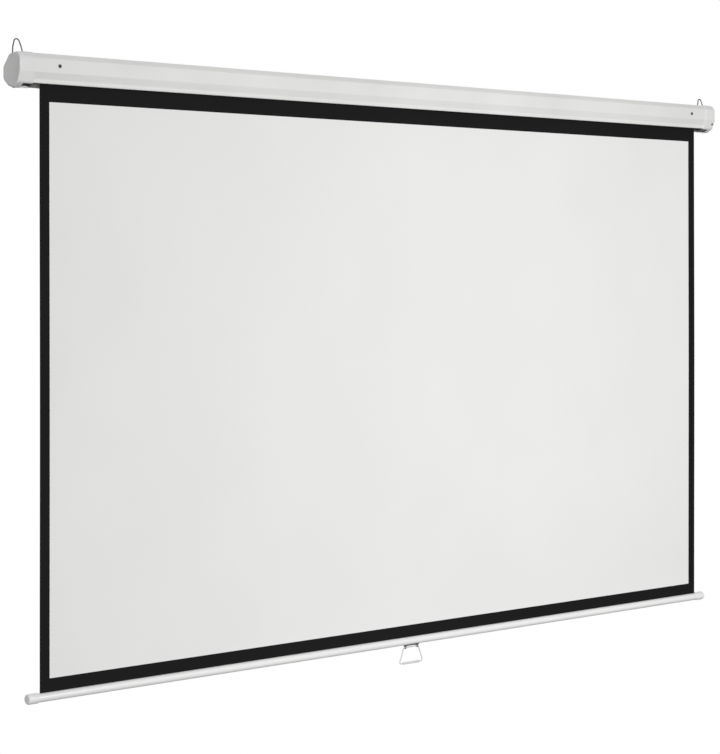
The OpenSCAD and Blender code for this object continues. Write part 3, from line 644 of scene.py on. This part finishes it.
for side, word in ((-1, "left"), (1, "right")):
    addPiece(f"{word}HangingLoop", loopMesh(side, loop["pushedIn"][word]), "wire_steel",
             f"{word}_loop", [f"{word}_hanging_loop"])

handle = {
    "y": -39.0, "pivotZ": -1359.6, "topWidth": 51, "lowWidth": 82, "height": 39, "wire": 1.5,
    "topBend": 2, "footBend": 4, "sides": 20,
}
sleeve = {"r": 2.8, "half": 28, "fit": 0.06, "edge": 0.6, "edgeSteps": 4, "flare": 0.3,
          "flareLength": 0.2, "sides": 40}


# A closed wire, whose ends meet in the middle of its straight top
def handleMesh():
    halfPath = [(0, 0), (handle["topWidth"] / 2, 0), (handle["lowWidth"] / 2, -handle["height"])]
    path = halfPath + [(-x, z) for x, z in halfPath[::-1]]
    points = [(x, handle["y"], handle["pivotZ"] + z) for x, z in path]
    bends = [0, handle["topBend"], handle["footBend"]]
    row = pointRow("handlePath", points, bend=bends + bends[::-1])
    return grow(wireTree, row, {"Radius": handle["wire"] * mm, "Sides": handle["sides"],
                                "Finish": finishes["handle_enamel"]}, "pullHandle", 1.0)


# The sleeve is a soft tube, a little rolled at its ends
def sleeveMesh():
    half, edge, bore = sleeve["half"], sleeve["edge"], handle["wire"] + sleeve["fit"]
    flat, straight = sleeve["r"] - edge, half - sleeve["flareLength"]
    profile = [(bore, -straight), (bore, straight), (bore + sleeve["flare"], half), (flat, half)]
    profile += [(flat + edge * math.sin(t), half - edge + edge * math.cos(t))
                for t in np.linspace(0, math.pi / 2, sleeve["edgeSteps"] + 1)[1:]]
    profile += [(r, -x) for r, x in profile[:1:-1]]
    return finishMesh("handleSleeve", lathe(profile, handle["y"],
                                            handle["pivotZ"] - handle["height"], sleeve["sides"]))


addPiece("pullHandle", handleMesh(), "handle_enamel", "pull_handle", ["pull_handle"])
addPiece("handleSleeve", sleeveMesh(), "sleeve_plastic", "pull_handle", ["handle_sleeve"])


print("driving the screws")
screw = {"front": 4.0, "cap": 3.0, "frontShank": 7.6, "capShank": 6.4, "sideShank": 8.6,
         "headR": 1.0, "headHeight": 0.7, "headRim": 0.35, "recessWidth": 0.16,
         "recessReach": 0.55, "recessFloor": 0.45, "tip": 0.3, "domeSteps": 8, "sides": 40,
         "turn": 0.6}


# A pan head screw of diameter d on the XY plane: domed head, cross recess, plain shank. Its
# head's radius and height and its recess's width are shares of d, and the others of the head.
def screwMesh(d, shank):
    headR, headH = d * screw["headR"], d * screw["headHeight"]
    tip, rim = screw["tip"], screw["headRim"]
    dome = [(headR * math.cos(t), headH * (rim + (1 - rim) * math.sin(t)))
            for t in np.linspace(0, math.pi / 2, screw["domeSteps"] + 1)[:-1]]
    profile = [(0, -shank), (d / 2 - tip, -shank), (d / 2, -shank + tip), (d / 2, 0), (headR, 0)]
    turns = [math.tau * k / screw["sides"] for k in range(screw["sides"])]
    blank = finishMesh("screwBlank", loft([[(r * math.cos(t), r * math.sin(t), z) for t in turns]
                                           for r, z in [*profile, *dome, (0, headH)]]))
    arm, slit = headR * screw["recessReach"], d * screw["recessWidth"] / 2
    cutters = [boxTool((-x, -y, headH * screw["recessFloor"]), (x, y, 2 * headH))
               for x, y in ((arm, slit), (slit, arm))]
    return cutAway(blank, cutters, "screw")


# Sets one screw at each point, its head turned to look along the points' direction
def screwRowTree(screwObject):
    tree, sizes = startTree("screwRow", {"Tilt": 0.0, "Turn": 0.0, "Finish": None})
    info = addNode(tree, "GeometryNodeObjectInfo", {"Object": screwObject, "As Instance": True})
    turned = addNode(tree, "GeometryNodeInstanceOnPoints", {
        "Points": sizes["Geometry"], "Instance": info.outputs["Geometry"]})
    for axis, angle in (("X", "Tilt"), ("Z", "Turn")):  # Z is then the screw's own axis
        by = addNode(tree, "ShaderNodeCombineXYZ", {axis: sizes[angle]})
        turned = addNode(tree, "GeometryNodeRotateInstances", {
            "Instances": turned.outputs["Instances"], "Local Space": True})
        tree.links.new(by.outputs["Vector"], turned.inputs["Rotation"])
    endTree(tree, turned.outputs["Instances"], sizes["Finish"])
    return tree


# Screws of one size on one side of the case. out is the way the heads look, as [Y, Z].
def screwRow(name, d, shank, spots, out, replaced, slot="dark_screw"):
    master = bpy.data.objects.new(name + "Master", screwMesh(d, shank))
    scene.collection.objects.link(master)
    tree = screwRowTree(master)
    mesh = grow(tree, pointRow(name, spots, loose=True), {
        "Tilt": math.atan2(-out[0], out[1]), "Turn": screw["turn"], "Finish": finishes[slot]},
        name)
    bpy.data.objects.remove(master)
    addPiece(name, mesh, slot, "case", replaced)


underSeat, sideSeat = (spot + out * cap["proud"] for spot, out in (
    (underScrewSpot, underScrewOut), (sideScrewSpot, sideScrewOut)))
screwRow("frontScrews", screw["front"], screw["frontShank"],
         [(side * case["screwX"], frontFace, case["screwHeight"]) for side in (-1, 1)],
         (-1, 0), ["left_front_screw", "right_front_screw"])
screwRow("capScrews", screw["cap"], screw["capShank"],
         [(side * cap["screwX"], *underSeat) for side in (-1, 1)], underScrewOut,
         ["left_cap_screw", "right_cap_screw"], "zinc_steel")
screwRow("sideScrew", screw["cap"], screw["sideShank"], [(cap["screwX"], *sideSeat)],
         sideScrewOut, ["side_screw"])


print("rolling the bottom bar")
bar = {"y": -39.0, "z": -1343.8, "r": 9.8, "wall": 1.4, "slot": 2.4, "slotLead": 0.35,
       "half": 1141, "sharp": 25, "steps": 72}
barCap = {"r": 11.2, "length": 26, "edge": 4, "edgeSteps": 8, "wall": 3, "lead": 0.4,
          "plug": 6.5, "plugWall": 1.5, "plugLead": 0.3, "fit": 0.1, "web": 2, "axisR": 0.001}


# A tube with a slot along its top, whose edges are broken
def barMesh():
    r, r0 = bar["r"], bar["r"] - bar["wall"]
    gap, lead = bar["slot"] / 2, bar["slotLead"]
    outerGap, innerGap = math.asin((gap + lead) / r), math.asin(gap / r0)
    outer = [math.pi / 2 + outerGap + (math.tau - 2 * outerGap) * k / bar["steps"]
             for k in range(bar["steps"] + 1)]
    inner = [math.pi / 2 - innerGap - (math.tau - 2 * innerGap) * k / bar["steps"]
             for k in range(bar["steps"] + 1)]
    edgeUp = math.sqrt((r - lead) ** 2 - gap ** 2)
    section = [(r * math.cos(t), r * math.sin(t)) for t in outer] + [(gap, edgeUp)]
    section += [(r0 * math.cos(t), r0 * math.sin(t)) for t in inner] + [(-gap, edgeUp)]
    rings = [[(x, bar["y"] + y, bar["z"] + z) for y, z in section]
             for x in (-bar["half"], bar["half"])]
    return finishMesh("bottomBar", loft(rings), math.radians(bar["sharp"]))


# A hollow cap with a rounded end, and a tubular plug that reaches into the bar
def barCapMesh(side):
    r, edge, wall, axisR = barCap["r"], barCap["edge"], barCap["wall"], barCap["axisR"]
    start, end = bar["half"], bar["half"] + barCap["length"]
    plugR, plugEnd = bar["r"] - bar["wall"] - barCap["fit"], start - barCap["plug"]
    plugBore, web = plugR - barCap["plugWall"], start + barCap["web"]
    lead, plugLead = barCap["lead"], barCap["plugLead"]
    arc = [(r - edge + edge * math.cos(t), end - edge + edge * math.sin(t))
           for t in np.linspace(0, math.pi / 2, barCap["edgeSteps"] + 1)]
    profile = [(axisR, end), (axisR, end - wall), (r - wall, end - wall), (r - wall, web),
               (plugBore, web), (plugBore, plugEnd + plugLead), (plugBore + plugLead, plugEnd),
               (plugR - plugLead, plugEnd), (plugR, plugEnd + plugLead), (plugR, start),
               (r - lead, start), (r, start + lead)] + arc
    return finishMesh("barCap", lathe(profile, bar["y"], bar["z"], bar["steps"], side))


addPiece("bottomBar", barMesh(), "bar_paint", "bar", ["bar_tube"])
for side, word in ((-1, "left"), (1, "right")):
    addPiece(f"{word}BarCap", barCapMesh(side), "bar_cap_plastic", "bar", [f"{word}_bar_cap"])


bracket = {"flat": 0.5, "edge": 0.25, "edgeSteps": 2, "sharp": 40}


# The stamped bracket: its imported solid, with its flat faces joined up and its edges broken
def bracketMesh():
    shape = bmesh.new()
    shape.from_mesh(nodes["handle_bracket"].data)
    bmesh.ops.remove_doubles(shape, verts=shape.verts, dist=weld)
    bmesh.ops.dissolve_limit(shape, angle_limit=math.radians(bracket["flat"]),
                             verts=shape.verts, edges=shape.edges)
    blank = bpy.data.objects.new("bracketBlank", finishMesh("bracketBlank", shape))
    scene.collection.objects.link(blank)
    bevel = blank.modifiers.new("brokenEdges", "BEVEL")
    bevel.width = bracket["edge"] * mm
    bevel.segments = bracket["edgeSteps"]
    bevel.limit_method = "ANGLE"
    bevel.angle_limit = math.radians(bracket["sharp"])
    mesh = bakedMesh(blank, "handleBracket")
    bpy.data.objects.remove(blank)
    return mesh


addPiece("handleBracket", bracketMesh(), "zinc_steel", "bar", ["handle_bracket"])


print("hanging the cloth")
cloth = {
    "half": 1133, "top": 0.0, "low": -1335.5, "viewHalf": 1107, "viewTop": -60, "viewLow": -1305,
    "front": -39.4, "border": 0.2, "white": 0.4, "backing": 0.2, "columns": 72, "rows": 60,
    "curl": 1.2, "curlReach": 90, "ripple": 0.7, "rippleLength": 760, "rippleLean": 2.2,
    "rippleStart": 0.7, "slotLevel": -30, "curlColumn": 12, "footRow": 15, "footRows": 2,
    "wrapTurns": 2, "hemTurns": 1, "coreGap": 0.05, "layerShare": 0.9, "turnSteps": 48,
}


# How far the hanging cloth stands in front of its plane: edges that curl forward, slow ripples.
# It never stands behind it, so the stowed cloth stays clear of the roll.
def clothWave(x, z):
    share = (cloth["slotLevel"] - z) / (cloth["slotLevel"] - cloth["viewLow"])
    swell = math.sin(math.pi * min(max(share, 0), 1)) ** 2
    curl = cloth["curl"] * math.exp((abs(x) - cloth["half"]) / cloth["curlReach"])
    wave = math.sin(math.tau * x / cloth["rippleLength"] + cloth["rippleLean"] * share
                    + cloth["rippleStart"])
    return swell * (curl + cloth["ripple"] * (1 + wave))


# One layer of the cloth, as a closed thin sheet over the cells of a grid that keep() picks. Its
# UV is its flat size in metres, for the weave.
def clothMesh(name, xs, zs, front, thickness, keep):
    shape = bmesh.new()
    flatUv = shape.loops.layers.uv.new("flat")
    made = {}

    def corner(i, k, back):
        if (i, k, back) not in made:
            x, z = xs[i], zs[k]
            y = front - clothWave(x, z) + (thickness if back else 0)
            made[i, k, back] = shape.verts.new(Vector((x, y, z)) * mm)
        return made[i, k, back]

    cells = {(i, k) for i in range(len(xs) - 1) for k in range(len(zs) - 1)
             if keep((xs[i] + xs[i + 1]) / 2, (zs[k] + zs[k + 1]) / 2)}
    for i, k in sorted(cells):
        square = [(i, k), (i + 1, k), (i + 1, k + 1), (i, k + 1)]
        shape.faces.new([corner(a, b, False) for a, b in square])
        shape.faces.new([corner(a, b, True) for a, b in square[::-1]])
        beyond = [(i, k - 1), (i + 1, k), (i, k + 1), (i - 1, k)]
        for (a, b), other in zip(zip(square, square[1:] + square[:1]), beyond):
            if other not in cells:
                shape.faces.new([corner(*a, False), corner(*a, True), corner(*b, True),
                                 corner(*b, False)])
    for face in shape.faces:
        for edge in face.loops:
            edge[flatUv].uv = (edge.vert.co.x, edge.vert.co.z)
    return finishMesh(name, shape)


# Grid lines that pass through all the stops, about count cells in all
def gridLines(stops, count):
    lines = []
    total = stops[-1] - stops[0]
    for a, b in zip(stops, stops[1:]):
        pieces = max(1, round(count * (b - a) / total))
        lines += [a + (b - a) * k / pieces for k in range(pieces)]
    return lines + [stops[-1]]


# Cloth wound round a core, as one band that is a spiral in section. It fills its node's ring
# outwards, ends at the given angle, and carries its flat lengths for the weave.
def woundCloth(nodeName, coreName, name, body, turns, endAngle):
    low, high = (np.array(corner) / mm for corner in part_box(nodeName))
    coreLow, coreHigh = (np.array(corner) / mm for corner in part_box(coreName))
    middle = (low + high) / 2
    inner = (coreHigh[1] - coreLow[1]) / 2 + cloth["coreGap"]
    pitch = ((high[1] - low[1]) / 2 - inner) / (turns + 1)
    angles = np.linspace(endAngle - math.tau * turns, endAngle, cloth["turnSteps"] * turns + 1)
    radii = np.linspace(inner, inner + pitch * turns, len(angles))
    steps = np.diff(angles) * (radii[1:] + radii[:-1] + pitch) / 2
    along = np.concatenate([[0], np.cumsum(steps)])
    across = np.stack([np.cos(angles), np.sin(angles)], axis=1)
    inside, outside = (across * r[:, None] + middle[1:]
                       for r in (radii, radii + pitch * cloth["layerShare"]))
    section = [*inside, *outside[::-1]]
    shape = loft([[(x, y, z) for y, z in section] for x in (low[0], high[0])])
    shape.verts.index_update()
    flatUv = shape.loops.layers.uv.new("flat")
    lengths = [*along, *along[::-1]]
    for face in shape.faces:
        for edge in face.loops:
            edge[flatUv].uv = (edge.vert.co.x, lengths[edge.vert.index % len(lengths)] * mm)
    piece = addPiece(name, finishMesh(name, shape), "cloth_back", body, [nodeName])


def everywhere(x, z):
    return True


# The border is printed round the white area
def onBorder(x, z):
    return not (abs(x) < cloth["viewHalf"] and cloth["viewLow"] < z < cloth["viewTop"])


curlLine = cloth["half"] - cloth["curlColumn"]
columns = gridLines([-cloth["half"], -curlLine, -cloth["viewHalf"], cloth["viewHalf"],
                     curlLine, cloth["half"]], cloth["columns"])
upperRows = gridLines([cloth["viewLow"], cloth["viewTop"], cloth["slotLevel"], cloth["top"]],
                      cloth["rows"])
footRows = gridLines([cloth["low"], cloth["low"] + cloth["footRow"], cloth["viewLow"]],
                     cloth["footRows"])
whiteFront = cloth["front"] + cloth["border"]
backingFront = whiteFront + cloth["white"]
upperLength = (cloth["top"] - cloth["viewLow"]) * mm
footLength = (cloth["viewLow"] - cloth["low"]) * mm
woundCloth("cloth_wrap", "roller_tube", "clothWrap", "roller", cloth["wrapTurns"], math.pi)
woundCloth("cloth_hem", "hem_rod", "clothHem", "bar", cloth["hemTurns"], math.pi / 2)
# On the real screen the part above the lower border goes up into the case as the bar rises, and
# the lower border is all that shows of the stowed cloth. Here that part hangs from the case, and
# the lower border goes with the bar.
clothParts = [
    ("", upperRows, "case", onBorder, upperLength, "clothWrap"),
    ("Foot", footRows, "bar", everywhere, footLength, "hem_rod"),
]
for word, rows, body, isBlack, length, rests in clothParts:
    inked = addPiece("blackBorder" + word, clothMesh(
        "blackBorder" + word, columns, rows, cloth["front"], cloth["border"], isBlack),
        "cloth_black", body, ["black_border"])
    white = addPiece("screenCloth" + word, clothMesh(
        "screenCloth" + word, columns, rows, whiteFront, cloth["white"], everywhere),
        "cloth_white", body, ["screen_cloth"])
    dark = addPiece("darkBacking" + word, clothMesh(
        "darkBacking" + word, columns, rows, backingFront, cloth["backing"], everywhere),
        "cloth_back", body, ["dark_backing"])
    if body == "case":
        for layer in (inked, white, dark):
            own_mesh(layer)


print("setting the studio")
studio = {
    "cameraPlace": (-4.1225, -4.1432, -0.4287), "heading": 43.879, "roll": 0.029, "lens": 111.57,
    "shiftY": -0.1385, "farClip": 100, "floorZ": -2.3, "floorR": 2.3, "floorGlow": 0.45,
    "ambientLow": 0.1, "ambientHigh": 0.3, "ambientReach": 0.6,
    "keyFrom": (-0.56, -0.83, 0.02), "keyStrength": 1.66, "keyAngle": 24,
    "rimFrom": (0.25, 0.5, 0.83), "rimStrength": 0.85, "rimAngle": 30,
    "panelPlace": (0.28, -2.6, -0.65), "panelSize": 1.2, "panelPower": 25,
}
camera = bpy.data.objects.new("camera", bpy.data.cameras.new("camera"))
scene.collection.objects.link(camera)
camera.location = studio["cameraPlace"]
camera.rotation_euler = (math.radians(90), math.radians(studio["roll"]),
                         -math.radians(studio["heading"]))
camera.data.lens = studio["lens"]
camera.data.shift_y = studio["shiftY"]
camera.data.clip_end = studio["farClip"]
scene.camera = camera


def addSun(name, comesFrom, strength, angle):
    lamp = bpy.data.lights.new(name, "SUN")
    lamp.energy = strength
    lamp.angle = math.radians(angle)
    sun = bpy.data.objects.new(name, lamp)
    sun.rotation_euler = Vector(comesFrom).to_track_quat("Z", "Y").to_euler()
    scene.collection.objects.link(sun)


addSun("keyLight", studio["keyFrom"], studio["keyStrength"], studio["keyAngle"])
addSun("rimLight", studio["rimFrom"], studio["rimStrength"], studio["rimAngle"])

# A soft panel in front of the screen, a little to its right
panel = bpy.data.objects.new("softPanel", bpy.data.lights.new("softPanel", "AREA"))
panel.data.size = studio["panelSize"]
panel.data.energy = studio["panelPower"]
panel.location = studio["panelPlace"]
panel.rotation_euler = Vector((0, -1, 0)).to_track_quat("Z", "Y").to_euler()
scene.collection.objects.link(panel)

# White surroundings that give only a soft fill, and less of it from below
world = bpy.data.worlds.new("studio")
scene.world = world
world.use_nodes = True
sky = world.node_tree
sky.nodes.clear()
seen = addNode(sky, "ShaderNodeLightPath").outputs["Is Camera Ray"]
look = addNode(sky, "ShaderNodeTexCoord").outputs["Generated"]
height = addNode(sky, "ShaderNodeSeparateXYZ", {"Vector": look}).outputs["Z"]
fill = spread(sky, height, studio["ambientLow"], studio["ambientHigh"],
              -studio["ambientReach"], studio["ambientReach"])
level = addNode(sky, "ShaderNodeMix", {"Factor": seen, "A": fill, "B": 1.0})
backdrop = addNode(sky, "ShaderNodeBackground", {
    "Color": (1, 1, 1, 1), "Strength": level.outputs["Result"]})
addNode(sky, "ShaderNodeOutputWorld", {"Surface": backdrop.outputs["Background"]})

# A pale floor, which is only seen, and throws nothing onto the screen
floorShape = bmesh.new()
bmesh.ops.create_circle(floorShape, cap_ends=True, segments=96, radius=studio["floorR"])
bmesh.ops.translate(floorShape, verts=floorShape.verts, vec=(0, 0, studio["floorZ"]))
floorMesh = bpy.data.meshes.new("floor")
floorShape.to_mesh(floorMesh)
floorShape.free()
floor = bpy.data.objects.new("floor", floorMesh)
scene.collection.objects.link(floor)
floorPaint = startMaterial("paintedFloor", **{
    "Base Color": linear("#F0F0EE"), "Roughness": 0.8, "Emission Color": (1, 1, 1, 1),
    "Emission Strength": studio["floorGlow"]})[0]
floorMesh.materials.append(floorPaint)
floor.visible_diffuse = False
floor.visible_glossy = False

scene.view_settings.view_transform = "Standard"
